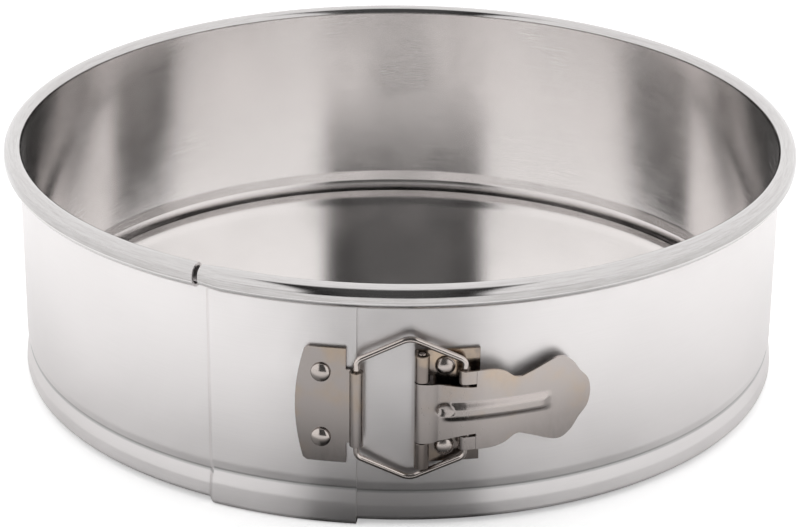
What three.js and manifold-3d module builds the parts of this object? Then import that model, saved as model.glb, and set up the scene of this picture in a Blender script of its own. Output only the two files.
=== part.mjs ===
// Springform pan: a round cake tin whose side band opens with an over-centre wire clasp,
// so that the band lets go of a loose, stepped base disc.
//
// Millimetres, +Z up. The origin is the centre of the base disc's underside, and the pan
// stands on z = 0. The clasp is at the front, which is -Y. An azimuth is an angle in degrees
// round the pan from the front, positive towards +X.
//
// The band is one strip of thin sheet that springs open as a whole. Here it is five stiff
// arcs, hinged on four upright lines, so that it can open.

import * as THREE from "three";
import { mergeVertices } from "three/addons/utils/BufferGeometryUtils.js";
import Module from "manifold-3d";

const wasm = await Module();
wasm.setup();

// ---- Driving dimensions ----

const WALL_RADIUS = 120; // outside of the wall
const SHEET = 0.8; // band, bracket and keeper sheet
const GAP = 0.3; // clearance between neighbouring pieces
const RIM_TOP = 76.3; // top of the rolled rim
const RIM_WIDTH = 5.6; // rolled rim, across
const RIM_HEIGHT = 7.0; // rolled rim, top to bottom
const RIM_TURN = 300; // how far round the rim is rolled
const LIP_INNER_RADIUS = 114.5; // free edge of the lip turned in under the base
const FOOT_RADIUS = 120.6; // outside of the bottom channel
const FOOT_CORNER = 1.2; // middle of the sheet, at the bottom corner
const SHOULDER_START = 7.0; // where the bottom channel starts to turn in
const SHOULDER_MIDDLE = { height: 9.0, depth: 0.3 };
const GROOVE_HEIGHT = 10.4; // narrowest place, between the channel and the wall
const GROOVE_DEPTH = 0.6; // how far the groove lies inside the wall
const WALL_START = 13.4; // where the wall is upright again
const RING_STEPS = 60; // facets round the pan

const HINGE_REAR = 144; // azimuths of the lines where the band bends
const HINGE_SIDE = 72;
const INNER_END = -26.3; // hidden end of the inner layer
const OUTER_END = -5.7; // cut edge of the outer layer
const JOGGLE_START = -27.4; // where the outer layer steps out over the inner one

const BASE_SHEET = 0.9;
const BASE_TOP = 7.0; // baking surface
const BASE_EDGE_RADIUS = 118.2; // outside of the base's turned-down edge
const BASE_CORNER = 1.0; // middle of the sheet, where the edge turns down
const BASE_EDGE_BOTTOM = 2.2;

const CLASP_HEIGHT = 38.5; // middle of the clasp above the floor
const WIRE_RADIUS = 0.9;
const PIN_RADIUS = 1.0;
const KNUCKLE_RADIUS = 1.75; // middle of the sheet rolled round the hinge pin
const CURL_RADIUS = 1.6; // middle of the sheet rolled round the bail wire
const RIVET_SHANK = 1.5;
const RIVET_HEAD = 2.85;
const RIVET_DOME = 1.3;
const TONGUE_HALF = 9.2; // lever's knuckle, between the bracket's two
const SLOT_INNER = 7.3; // tongue's edge beside each ear
const EAR_INNER = 8.2;
const EAR_OUTER = 12.3;
const EAR_ROOT = 21.7; // where the ears join the lever
const KEEPER_HALF_HEIGHT = 18;
const KEEPER_CURL_HALF = 11.6; // the curl is narrower than the plate
const KEEPER_PLATE_END = -15; // x where the plate narrows to the curl
const KEEPER_SHEET_START = -31;
const KEEPER_CURL_TURN = 285;
const BRACKET_HALF_HEIGHT = 17.6;
const BRACKET_RIGHT = 22.7; // right edge of the bracket plate
const BRACKET_NOTCH_RIGHT = 9.5; // the tongue's notch ends here
const BRACKET_TURN = 215;
const LEVER_TIP_RADIUS = 122.4; // middle of the lever's sheet at its tip
const RIB_LEFT = 12.5; // raised rib on the lever
const RIB_RIGHT = 42.5;
const RIB_HALF = 2.3;
const RIB_RISE = 1.1;
const BAIL_LEG_HALF = 15;
const BAIL_APEX_HALF = 22;
const BAIL_APEX_SHARE = 0.49; // place of the two outer corners between the legs
const BAIL_OPEN_HALF = 12.2; // the leg is left out inside the keeper's curl
const BAIL_CORNER = 2.2;
const PIN_LENGTH = 36;

// One side of the lever's outline, from the root of the ear to the nose.
const LEVER_EDGE = [
  [EAR_ROOT, EAR_OUTER],
  [26.5, 12.1],
  [29.8, 11.1],
  [33.3, 8.9],
  [37.0, 9.9],
  [44.7, 12.9],
  [48.6, 11.2],
  [51.2, 7.4],
  [53.6, 4.2],
  [54.4, 0],
];
const LEVER_TIP = LEVER_EDGE[LEVER_EDGE.length - 1][0];

// Upright axes of the clasp: the bail's leg in the keeper, the hinge pin, and the bail's
// leg in the lever.
const KEEPER_AXIS = onCircle(123.4, -12.0);
const PIN_AXIS = onCircle(124.3, 6.4);
const LEVER_AXIS = onCircle(123.6, 18.6);

const ALUMINIUM = { color: 0xd9d9da, roughness: 0.32, metalness: 1 };
const BRIGHT_ALUMINIUM = { color: 0xe0e0e1, roughness: 0.16, metalness: 1 };
const STEEL = { color: 0xc0b8b0, roughness: 0.24, metalness: 1 };

// Rivets: azimuth, distance above or below the clasp's middle, and radius under the head.
const KEEPER_RIVET = {
  azimuth: -10.4,
  offset: 10.2,
  headRadius: KEEPER_AXIS.length() - CURL_RADIUS + SHEET / 2,
};
const BRACKET_RIVET = { azimuth: 6.1, offset: 12.6, headRadius: WALL_RADIUS + GAP + SHEET };
const TAIL_RADIUS = 2.4; // flattened tail inside the band
const TAIL_HEIGHT = 0.5;

// ---- Points and outlines ----

function onCircle(radius, x) {
  return new THREE.Vector2(x, -Math.sqrt(radius * radius - x * x));
}

function radians(degrees) {
  return THREE.MathUtils.degToRad(degrees);
}

function polar(centre, radiusX, radiusY, degrees) {
  const turn = radians(degrees);
  return new THREE.Vector2(centre.x + radiusX * Math.cos(turn), centre.y + radiusY * Math.sin(turn));
}

// Points on an ellipse round centre, from one angle to another.
function arcPoints(centre, radiusX, radiusY, from, to, steps) {
  return Array.from({ length: steps + 1 }, (_, i) =>
    polar(centre, radiusX, radiusY, from + ((to - from) * i) / steps),
  );
}

// Points that follow the pan's round wall, from one x to another.
function wallPoints(radiusAt, fromX, toX, steps) {
  return Array.from({ length: steps + 1 }, (_, i) => {
    const x = fromX + ((toX - fromX) * i) / steps;
    return onCircle(radiusAt(x), x);
  });
}

// A line moved sideways by distance, positive to the left of its direction, with mitred corners.
function offsetLine(line, distance) {
  return line.map((point, i) => {
    const before = line[Math.max(i - 1, 0)];
    const after = line[Math.min(i + 1, line.length - 1)];
    const into = point.clone().sub(i > 0 ? before : point.clone().multiplyScalar(2).sub(after)).normalize();
    const out = (i < line.length - 1 ? after.clone().sub(point) : into.clone()).normalize();
    const mitre = new THREE.Vector2(-into.y - out.y, into.x + out.x).normalize();
    const reach = distance / Math.max(mitre.dot(new THREE.Vector2(-into.y, into.x)), 0.5);
    return point.clone().addScaledVector(mitre, reach);
  });
}

// Closed outline of a sheet that lies between two offsets of a line.
function sheetOutline(line, rightOffset, leftOffset) {
  const outline = [...offsetLine(line, leftOffset), ...offsetLine(line, rightOffset).reverse()];
  return THREE.ShapeUtils.area(outline) < 0 ? outline.reverse() : outline;
}

// ---- Solids ----

function toSolid(geometry) {
  const bare = new THREE.BufferGeometry();
  bare.setAttribute("position", geometry.getAttribute("position"));
  bare.setIndex(geometry.getIndex());
  const merged = mergeVertices(bare, 1e-4);
  return new wasm.Manifold(
    new wasm.Mesh({
      numProp: 3,
      vertProperties: new Float32Array(merged.getAttribute("position").array),
      triVerts: new Uint32Array(merged.getIndex().array),
    }),
  );
}

function toGeometry(solid) {
  const mesh = solid.getMesh();
  const geometry = new THREE.BufferGeometry();
  geometry.setAttribute("position", new THREE.BufferAttribute(mesh.vertProperties, 3));
  geometry.setIndex(new THREE.BufferAttribute(mesh.triVerts, 1));
  geometry.computeVertexNormals();
  return geometry;
}

function latheGeometry(outline, steps) {
  return new THREE.LatheGeometry(outline, steps).rotateX(Math.PI / 2);
}

// A plan outline (x, y) as an upright prism between two heights.
function planPrism(outline, low, high) {
  const shape = new THREE.Shape(outline);
  const geometry = new THREE.ExtrudeGeometry(shape, { depth: high - low, bevelEnabled: false });
  return toSolid(geometry.translate(0, 0, low));
}

// A front outline (x, height above the clasp's middle) as a prism right through the clasp.
function frontPrism(shape, curveSegments = 3) {
  const depth = 60;
  const geometry = new THREE.ExtrudeGeometry(shape, { depth, bevelEnabled: false, curveSegments });
  return toSolid(geometry.rotateX(Math.PI / 2).translate(0, depth / 2 - WALL_RADIUS, CLASP_HEIGHT));
}

function rectangle(left, bottom, right, top) {
  return new THREE.Shape([
    new THREE.Vector2(left, bottom),
    new THREE.Vector2(right, bottom),
    new THREE.Vector2(right, top),
    new THREE.Vector2(left, top),
  ]);
}

// The slice of the pan between two azimuths.
function wedge(fromAzimuth, toAzimuth) {
  const reach = 2 * WALL_RADIUS;
  const steps = Math.max(Math.ceil((toAzimuth - fromAzimuth) / 30), 1);
  const rimPoints = arcPoints(new THREE.Vector2(), reach, reach, fromAzimuth - 90, toAzimuth - 90, steps);
  return planPrism([new THREE.Vector2(), ...rimPoints], -10, RIM_TOP + 10);
}

// ---- Band ----

// Middle of the band's sheet, from the lip under the base up to the top of the wall, and
// round the rolled rim where it has one.
function bandLine(withRim) {
  const radius = WALL_RADIUS - SHEET / 2;
  const footRadius = FOOT_RADIUS - SHEET / 2;
  const footHeight = SHEET + GAP + SHEET / 2;
  const cornerCentre = new THREE.Vector2(footRadius - FOOT_CORNER, footHeight + FOOT_CORNER);
  const rimCentre = new THREE.Vector2(WALL_RADIUS - SHEET + RIM_WIDTH / 2, RIM_TOP - RIM_HEIGHT / 2);
  const rimAcross = (RIM_WIDTH - SHEET) / 2;
  const rimUp = (RIM_HEIGHT - SHEET) / 2;
  const plainTop = RIM_TOP - RIM_HEIGHT - GAP;
  const top = withRim
    ? arcPoints(rimCentre, rimAcross, rimUp, 180, 180 - RIM_TURN, 8)
    : [new THREE.Vector2(radius, plainTop)];
  return [
    new THREE.Vector2(LIP_INNER_RADIUS, footHeight),
    ...arcPoints(cornerCentre, FOOT_CORNER, FOOT_CORNER, -90, 0, 2),
    new THREE.Vector2(footRadius, SHOULDER_START),
    new THREE.Vector2(footRadius - SHOULDER_MIDDLE.depth, SHOULDER_MIDDLE.height),
    new THREE.Vector2(radius - GROOVE_DEPTH, GROOVE_HEIGHT),
    new THREE.Vector2(radius, WALL_START),
    ...top,
  ];
}

// Part of the band between two azimuths. The offsets are measured outwards from the
// middle of the inner layer's sheet.
function bandArc(fromAzimuth, toAzimuth, inside, outside, withRim) {
  const outline = sheetOutline(bandLine(withRim), -outside, -inside);
  const ring = latheGeometry([...outline, outline[0]], RING_STEPS);
  return toSolid(ring).intersect(wedge(fromAzimuth, toAzimuth));
}

function plainArc(fromAzimuth, toAzimuth) {
  return bandArc(fromAzimuth, toAzimuth, -SHEET / 2, SHEET / 2, true);
}

// A hole through the wall for a rivet's shank.
function rivetHole(azimuth, height) {
  const hole = new THREE.CylinderGeometry(RIVET_SHANK + GAP, RIVET_SHANK + GAP, 12, 12);
  hole.translate(0, -WALL_RADIUS, 0).rotateZ(radians(azimuth));
  return toSolid(hole.translate(0, 0, height));
}

// The left end of the band: one sheet further out where it lies over the inner layer.
function leftFrontArc(fromAzimuth) {
  const outerInside = SHEET / 2 + GAP;
  const outerOutside = outerInside + SHEET;
  const halfGap = THREE.MathUtils.radToDeg(GAP / WALL_RADIUS);
  const joggleEnd = INNER_END - halfGap;
  const joggle = bandArc(JOGGLE_START, joggleEnd, -SHEET / 2, outerOutside, false);
  const overlap = bandArc(joggleEnd - halfGap, OUTER_END, outerInside, outerOutside, false);
  return plainArc(fromAzimuth, JOGGLE_START + halfGap).add(joggle).add(overlap);
}

// ---- Base ----

// A flat disc with its edge turned down, which stands inside the bottom channel.
function baseGeometry() {
  const half = BASE_SHEET / 2;
  const edge = BASE_EDGE_RADIUS - half;
  const height = BASE_TOP - half;
  const cornerCentre = new THREE.Vector2(edge - BASE_CORNER, height - BASE_CORNER);
  const line = [
    new THREE.Vector2(0, height),
    ...arcPoints(cornerCentre, BASE_CORNER, BASE_CORNER, 90, 0, 2),
    new THREE.Vector2(edge, BASE_EDGE_BOTTOM),
  ];
  const under = offsetLine(line, -half);
  const top = offsetLine(line, half).reverse();
  return latheGeometry([...under, ...top], RING_STEPS);
}

// ---- Clasp ----

// Middle of the keeper's sheet: along the wall, then round the bail's leg.
function keeperLine() {
  const plateRadius = KEEPER_AXIS.length() - CURL_RADIUS;
  const curlStart = THREE.MathUtils.radToDeg(Math.atan2(-KEEPER_AXIS.y, -KEEPER_AXIS.x));
  return [
    ...wallPoints(() => plateRadius, KEEPER_SHEET_START, KEEPER_AXIS.x - CURL_RADIUS, 4),
    ...arcPoints(KEEPER_AXIS, CURL_RADIUS, CURL_RADIUS, curlStart, curlStart - KEEPER_CURL_TURN, 10),
  ];
}

// The plate with its bowed left edge, and the narrower curl on its right.
function keeperOutline() {
  const pastCurl = KEEPER_AXIS.x + 4;
  const topLeft = -26.5;
  const bottomLeft = -27;
  const bow = -32;
  const shape = new THREE.Shape();
  shape.moveTo(KEEPER_PLATE_END, -KEEPER_HALF_HEIGHT);
  shape.lineTo(KEEPER_PLATE_END, -KEEPER_CURL_HALF);
  shape.lineTo(pastCurl, -KEEPER_CURL_HALF);
  shape.lineTo(pastCurl, KEEPER_CURL_HALF);
  shape.lineTo(KEEPER_PLATE_END, KEEPER_CURL_HALF);
  shape.lineTo(KEEPER_PLATE_END, KEEPER_HALF_HEIGHT);
  shape.lineTo(topLeft, KEEPER_HALF_HEIGHT);
  shape.quadraticCurveTo(bow, 0, bottomLeft, -KEEPER_HALF_HEIGHT);
  return shape;
}

function keeperSolid() {
  const profile = sheetOutline(keeperLine(), -SHEET / 2, SHEET / 2);
  const low = CLASP_HEIGHT - KEEPER_HALF_HEIGHT - 2;
  const high = CLASP_HEIGHT + KEEPER_HALF_HEIGHT + 2;
  return planPrism(profile, low, high).intersect(frontPrism(keeperOutline()));
}

// Middle of the bracket's sheet: along the wall, up at its left end, and over the pin.
function bracketLine() {
  const plateRadius = WALL_RADIUS + GAP + SHEET / 2;
  return [
    ...wallPoints(() => plateRadius, BRACKET_RIGHT, PIN_AXIS.x - KNUCKLE_RADIUS, 4),
    ...arcPoints(PIN_AXIS, KNUCKLE_RADIUS, KNUCKLE_RADIUS, 180, 180 + BRACKET_TURN, 8),
  ];
}

function bracketSolid() {
  const profile = sheetOutline(bracketLine(), -SHEET / 2, SHEET / 2);
  const sheet = planPrism(profile, CLASP_HEIGHT - BRACKET_HALF_HEIGHT, CLASP_HEIGHT + BRACKET_HALF_HEIGHT);
  const notchHalf = TONGUE_HALF + GAP;
  return sheet.subtract(frontPrism(rectangle(0, -notchHalf, BRACKET_NOTCH_RIGHT, notchHalf)));
}

// Middle of the lever's sheet at x: level with the top of the ears, then closer to the wall.
function leverRadius(x) {
  const earTop = LEVER_AXIS.length() + CURL_RADIUS;
  const fromEars = Math.max(x, LEVER_AXIS.x);
  return THREE.MathUtils.mapLinear(fromEars, LEVER_AXIS.x, LEVER_TIP, earTop, LEVER_TIP_RADIUS);
}

function leverTongueLine() {
  return [
    ...arcPoints(PIN_AXIS, KNUCKLE_RADIUS, KNUCKLE_RADIUS, 60, 270, 8),
    ...wallPoints(leverRadius, PIN_AXIS.x + 2 * KNUCKLE_RADIUS + 2, LEVER_TIP + 1, 10),
  ];
}

function leverEarLine() {
  const start = THREE.MathUtils.radToDeg(Math.atan2(LEVER_AXIS.y, LEVER_AXIS.x));
  return [
    ...arcPoints(LEVER_AXIS, CURL_RADIUS, CURL_RADIUS, start - 225, start, 8),
    ...wallPoints(leverRadius, EAR_ROOT - 0.5, EAR_ROOT + 2, 1),
  ];
}

// The tongue and the lever's plate, without the ears.
function leverOutline() {
  const upper = LEVER_EDGE.map(([x, z]) => new THREE.Vector2(x, z));
  const lower = LEVER_EDGE.slice(0, -1).reverse().map(([x, z]) => new THREE.Vector2(x, -z));
  const edge = new THREE.SplineCurve([...upper, ...lower]).getPoints(36);
  const pastKnuckle = PIN_AXIS.x - 2 * KNUCKLE_RADIUS;
  return new THREE.Shape([
    new THREE.Vector2(EAR_ROOT, -SLOT_INNER),
    new THREE.Vector2(pastKnuckle, -TONGUE_HALF),
    new THREE.Vector2(pastKnuckle, TONGUE_HALF),
    new THREE.Vector2(EAR_ROOT, SLOT_INNER),
    ...edge,
  ]);
}

function leverSolid() {
  const half = SHEET / 2;
  const low = CLASP_HEIGHT - KEEPER_HALF_HEIGHT;
  const high = CLASP_HEIGHT + KEEPER_HALF_HEIGHT;
  const tongue = planPrism(sheetOutline(leverTongueLine(), -half, half), low, high);
  const ears = planPrism(sheetOutline(leverEarLine(), -half, half), low, high);
  const earLeft = LEVER_AXIS.x - 2 * CURL_RADIUS - 1;
  const upperEar = frontPrism(rectangle(earLeft, EAR_INNER, EAR_ROOT + 1, EAR_OUTER));
  const lowerEar = frontPrism(rectangle(earLeft, -EAR_OUTER, EAR_ROOT + 1, -EAR_INNER));
  const ribOutline = sheetOutline(wallPoints(leverRadius, RIB_LEFT, RIB_RIGHT, 6), -half - RIB_RISE, 0);
  const rib = planPrism(ribOutline, CLASP_HEIGHT - RIB_HALF, CLASP_HEIGHT + RIB_HALF);
  return tongue
    .intersect(frontPrism(leverOutline()))
    .add(ears.intersect(upperEar.add(lowerEar)))
    .add(rib);
}

// The bail: a wire loop with six sides, open where it lies inside the keeper's curl.
function bailGeometry() {
  const span = LEVER_AXIS.clone().sub(KEEPER_AXIS);
  const at = (share, height) => {
    const point = KEEPER_AXIS.clone().addScaledVector(span, share);
    return new THREE.Vector3(point.x, point.y, CLASP_HEIGHT + height);
  };
  const corners = [
    at(0, BAIL_OPEN_HALF),
    at(0, BAIL_LEG_HALF),
    at(BAIL_APEX_SHARE, BAIL_APEX_HALF),
    at(1, BAIL_LEG_HALF),
    at(1, -BAIL_LEG_HALF),
    at(BAIL_APEX_SHARE, -BAIL_APEX_HALF),
    at(0, -BAIL_LEG_HALF),
    at(0, -BAIL_OPEN_HALF),
  ];
  const path = roundedPath(corners, BAIL_CORNER);
  const section = new THREE.Shape(arcPoints(new THREE.Vector2(), WIRE_RADIUS, WIRE_RADIUS, 0, 315, 7));
  return new THREE.ExtrudeGeometry(section, { steps: 60, bevelEnabled: false, extrudePath: path });
}

// Straight lines between corners, with each inner corner rounded off.
function roundedPath(corners, radius) {
  const path = new THREE.CurvePath();
  let from = corners[0];
  for (let i = 1; i < corners.length - 1; i += 1) {
    const corner = corners[i];
    const towards = (other) => corner.clone().add(other.clone().sub(corner).setLength(radius));
    const entry = towards(corners[i - 1]);
    const exit = towards(corners[i + 1]);
    path.add(new THREE.LineCurve3(from, entry));
    path.add(new THREE.QuadraticBezierCurve3(entry, corner, exit));
    from = exit;
  }
  path.add(new THREE.LineCurve3(from, corners[corners.length - 1]));
  return path;
}

// A rivet that points outwards along -Y: its domed head outside, and its tail inside.
// Lengths are radii from the pan's axis.
function rivetGeometry(azimuth, height, headRadius, tailRadius, tailHead) {
  const dome = arcPoints(new THREE.Vector2(0, headRadius), RIVET_HEAD, RIVET_DOME, 0, 90, 4);
  const tail = tailHead
    ? [
        [0, tailRadius - tailHead],
        [TAIL_RADIUS, tailRadius - tailHead],
        [TAIL_RADIUS, tailRadius],
      ]
    : [[0, tailRadius]];
  const outline = [
    ...tail.map(([x, y]) => new THREE.Vector2(x, y)),
    new THREE.Vector2(RIVET_SHANK, tailRadius),
    new THREE.Vector2(RIVET_SHANK, headRadius),
    ...dome.slice(0, -1),
    new THREE.Vector2(0, headRadius + RIVET_DOME),
  ];
  const geometry = new THREE.LatheGeometry(outline, 14);
  return geometry.rotateX(Math.PI).rotateZ(radians(azimuth)).translate(0, 0, height);
}

function pinGeometry() {
  const pin = new THREE.CylinderGeometry(PIN_RADIUS, PIN_RADIUS, PIN_LENGTH, 12);
  return pin.rotateX(Math.PI / 2).translate(PIN_AXIS.x, PIN_AXIS.y, CLASP_HEIGHT);
}

// ---- Assembly ----

const pan = new THREE.Group();

function place(name, shape, finish) {
  const geometry = shape instanceof THREE.BufferGeometry ? shape : toGeometry(shape);
  const mesh = new THREE.Mesh(geometry, new THREE.MeshStandardMaterial(finish));
  mesh.name = name;
  pan.add(mesh);
}

const hingeHalfGap = THREE.MathUtils.radToDeg(GAP / 2 / (WALL_RADIUS - SHEET / 2));
const sideStart = HINGE_SIDE + hingeHalfGap;
const rearStart = HINGE_REAR + hingeHalfGap;
const rearEnd = HINGE_REAR - hingeHalfGap;
const frontEnd = HINGE_SIDE - hingeHalfGap;

function drill(solid, rivet) {
  return [-1, 1].reduce(
    (left, side) => left.subtract(rivetHole(rivet.azimuth, CLASP_HEIGHT + side * rivet.offset)),
    solid,
  );
}

place("band_back", plainArc(rearStart, 360 - rearStart), ALUMINIUM);
place("band_left_rear", plainArc(-rearEnd, -sideStart), ALUMINIUM);
place("band_left_front", drill(leftFrontArc(-frontEnd), KEEPER_RIVET), ALUMINIUM);
place("band_right_rear", plainArc(sideStart, rearEnd), ALUMINIUM);
place("band_right_front", drill(plainArc(INNER_END, frontEnd), BRACKET_RIVET), ALUMINIUM);
place("base_disc", baseGeometry(), BRIGHT_ALUMINIUM);
place("keeper_plate", drill(keeperSolid(), KEEPER_RIVET), STEEL);
place("bracket_plate", drill(bracketSolid(), BRACKET_RIVET), STEEL);
place("hinge_pin", pinGeometry(), STEEL);
place("clasp_lever", leverSolid(), STEEL);
place("bail_wire", bailGeometry(), STEEL);

for (const [side, sign] of [["upper", 1], ["lower", -1]]) {
  const keeperHeight = CLASP_HEIGHT + sign * KEEPER_RIVET.offset;
  const bracketHeight = CLASP_HEIGHT + sign * BRACKET_RIVET.offset;
  const keeperHead = KEEPER_RIVET.headRadius + GAP;
  const bracketHead = BRACKET_RIVET.headRadius + GAP;
  const layerInside = WALL_RADIUS + GAP;
  const tail = WALL_RADIUS - SHEET - GAP;
  const keeperRivet = rivetGeometry(KEEPER_RIVET.azimuth, keeperHeight, keeperHead, layerInside, 0);
  place(`keeper_rivet_${side}`, keeperRivet, STEEL);
  const bracketRivet = rivetGeometry(BRACKET_RIVET.azimuth, bracketHeight, bracketHead, tail, TAIL_HEIGHT);
  place(`bracket_rivet_${side}`, bracketRivet, STEEL);
}

export default pan;
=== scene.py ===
"""The looks of the springform pan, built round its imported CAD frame.

Metres, +Z up, with the clasp at the front, -Y. An azimuth is an angle in degrees round the
pan from the front, positive towards +X. Lengths named in millimetres are turned into metres
where a mesh is built.
"""

import math

import bmesh
import bpy
import numpy as np
from mathutils import Matrix


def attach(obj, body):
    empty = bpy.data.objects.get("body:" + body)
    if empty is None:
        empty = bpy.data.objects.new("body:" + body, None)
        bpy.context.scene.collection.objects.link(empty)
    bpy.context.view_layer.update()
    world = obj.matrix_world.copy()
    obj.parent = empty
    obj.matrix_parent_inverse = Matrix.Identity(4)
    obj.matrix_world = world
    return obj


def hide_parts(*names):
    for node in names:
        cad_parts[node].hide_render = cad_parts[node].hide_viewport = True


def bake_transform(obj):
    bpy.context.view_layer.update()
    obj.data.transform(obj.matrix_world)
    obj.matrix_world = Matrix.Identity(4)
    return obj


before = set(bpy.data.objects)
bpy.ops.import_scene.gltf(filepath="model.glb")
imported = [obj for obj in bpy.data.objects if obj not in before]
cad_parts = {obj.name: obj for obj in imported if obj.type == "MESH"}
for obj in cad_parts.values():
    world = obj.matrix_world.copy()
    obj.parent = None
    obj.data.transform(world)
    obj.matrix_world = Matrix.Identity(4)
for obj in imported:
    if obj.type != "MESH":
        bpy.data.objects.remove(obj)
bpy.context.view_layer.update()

MM = 0.001

# ---- Driving dimensions, in millimetres and degrees ----
# They follow the CAD frame, with small differences at the rim, the foot, the base's edge and
# the band's two front ends.

WALL_RADIUS = 120.0
SHEET = 0.8
GAP = 0.3
RIM_TOP = 76.2
RIM_WIDTH = 5.6
RIM_HEIGHT = 7.0
RIM_INNER_ROUNDING = 1.8
RIM_OUTER_ROUNDING = 2.5
RIM_CURL_GAP = 1.2
NOSE_SCALE = 0.84
NOSE_DROP = 0.5
NOSE_SPAN = 3.5
LIP_INNER_RADIUS = 114.5
FOOT_RADIUS = 120.75
SHOULDER_START = 6.0
SHOULDER_DEPTH = 0.4
GROOVE_HEIGHT = 10.4
GROOVE_DEPTH = 0.6
WALL_START = 13.4
WALL_MIDDLE = WALL_RADIUS - SHEET / 2

HINGE_REAR = 144.0
HINGE_SIDE = 72.0
INNER_END = -27.3
INNER_WALL_END = -26.1
OUTER_END = -5.7
RIM_CUT = -27.9
JOGGLE_START = -27.3
JOGGLE_END = -26.3

BASE_SHEET = 0.9
BASE_TOP = 7.0
BASE_EDGE_RADIUS = 118.2
BASE_EDGE_BOTTOM = 2.2
BASE_CORNER = 1.3

CLASP_HEIGHT = 38.5
WIRE_RADIUS = 0.9
PIN_RADIUS = 1.0
KNUCKLE_RADIUS = 1.75
CURL_RADIUS = 1.6
RIVET_HEAD = 2.85
RIVET_DOME = 1.3
TAIL_HEIGHT = 0.5
KEEPER_RIVETS = (-10.4, 10.2)
BRACKET_RIVETS = (6.1, 12.6)
TONGUE_HALF = 9.2
SLOT_INNER = 7.3
EAR_INNER = 8.2
EAR_OUTER = 12.3
EAR_ROOT = 21.7


def on_circle(radius, x):
    return np.array([x, -math.sqrt(radius * radius - x * x)])


KEEPER_AXIS = on_circle(123.4, -12.0)
PIN_AXIS = on_circle(124.3, 6.4)
LEVER_AXIS = on_circle(123.6, 18.6)


# ---- Lines in a plane ----


def arc(centre, radius, start, end, steps):
    """Points on a circle round centre, from one angle in degrees to another."""
    turns = np.radians(np.linspace(start, end, steps + 1))
    return [np.array(centre) + radius * np.array([math.cos(t), math.sin(t)]) for t in turns]


def rounded(corners, steps=6):
    """Points along straight lines between corners (x, y, radius), each corner rounded off."""
    points = []
    for i, (x, y, radius) in enumerate(corners):
        here = np.array([x, y])
        if radius == 0:
            points.append(here)
            continue
        back = np.array(corners[i - 1][:2]) - here
        ahead = np.array(corners[i + 1][:2]) - here
        back /= np.linalg.norm(back)
        ahead /= np.linalg.norm(ahead)
        half = math.acos(np.clip(back @ ahead, -1, 1)) / 2
        reach = radius / math.tan(half)
        bisector = (back + ahead) / np.linalg.norm(back + ahead)
        centre = here + bisector * radius / math.sin(half)
        first = here + back * reach - centre
        last = here + ahead * reach - centre
        turn = math.atan2(first[0] * last[1] - first[1] * last[0], first @ last)
        for share in np.linspace(0, 1, steps + 1):
            c, s = math.cos(turn * share), math.sin(turn * share)
            points.append(centre + np.array([c * first[0] - s * first[1], s * first[0] + c * first[1]]))
    return points


def subdivided(points, longest):
    """The same line with no step longer than the given one."""
    result = [points[0]]
    for a, b in zip(points, points[1:]):
        count = max(int(math.ceil(np.linalg.norm(b - a) / longest)), 1)
        result += [a + (b - a) * k / count for k in range(1, count + 1)]
    return result


def left_normals(points):
    """Unit normals to the left of a smooth line, one at each point."""
    line = np.array(points)
    along = np.gradient(line, axis=0)
    along /= np.linalg.norm(along, axis=1)[:, None]
    return np.stack([-along[:, 1], along[:, 0]], 1)


def smooth_curve(points, steps):
    """A Catmull-Rom curve through points, from the second to the last but one."""
    knots = np.array(points, float)
    curve = []
    for i in range(1, len(knots) - 2):
        a, b, c, d = knots[i - 1 : i + 3]
        square, cube = 2 * a - 5 * b + 4 * c - d, 3 * b - a - 3 * c + d
        for k in range(steps):
            t = k / steps
            curve.append(0.5 * (2 * b + (c - a) * t + square * t**2 + cube * t**3))
    curve.append(knots[-2])
    return np.array(curve)


def smoothstep(value, low, high):
    share = np.clip((value - low) / (high - low), 0, 1)
    return share * share * (3 - 2 * share)


# ---- Meshes ----


class Skin:
    """Collects faces with a normal for each corner, and shares the vertices that coincide."""

    def __init__(self):
        self.index = {}
        self.points = []
        self.faces = []
        self.normals = []
        self.materials = []

    def vertex(self, point):
        key = tuple(np.round(point * 1e4).astype(int))
        if key not in self.index:
            self.index[key] = len(self.points)
            self.points.append(tuple(point * MM))
        return self.index[key]

    def face(self, corners, normals, material=0):
        ids = [self.vertex(p) for p in corners]
        kept = [k for k in range(len(ids)) if ids[k] != ids[k - 1]]
        if len(kept) < 3:
            return
        across = np.cross(corners[kept[1]] - corners[kept[0]], corners[kept[2]] - corners[kept[0]])
        if across @ normals[kept[0]] < 0:
            kept.reverse()
        self.faces.append([ids[k] for k in kept])
        self.normals += [tuple(normals[k]) for k in kept]
        self.materials.append(material)

    def grid(self, points, normals, material=0):
        """Faces between the rows and columns of points, material being one number or one a column."""
        rows, columns = points.shape[:2]
        for i in range(rows - 1):
            for j in range(columns - 1):
                cells = [(i, j), (i + 1, j), (i + 1, j + 1), (i, j + 1)]
                number = material[j] if hasattr(material, "__len__") else material
                self.face([points[c] for c in cells], [normals[c] for c in cells], number)

    def build(self, name, materials):
        mesh = bpy.data.meshes.new(name)
        mesh.from_pydata(self.points, [], self.faces)
        for material in materials:
            mesh.materials.append(material)
        mesh.polygons.foreach_set("material_index", self.materials)
        mesh.polygons.foreach_set("use_smooth", [True] * len(self.faces))
        mesh.normals_split_custom_set(self.normals)
        centre_tangents(mesh)
        mesh.update()
        obj = bpy.data.objects.new(name, mesh)
        bpy.context.collection.objects.link(obj)
        return obj


def centre_tangents(mesh):
    """Makes radial shading directions run round the pan's axis, and not round the mesh's middle."""
    mesh.use_auto_texspace = False
    mesh.texspace_location = (0, 0, CLASP_HEIGHT * MM)
    mesh.texspace_size = (WALL_RADIUS * MM,) * 3


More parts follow.
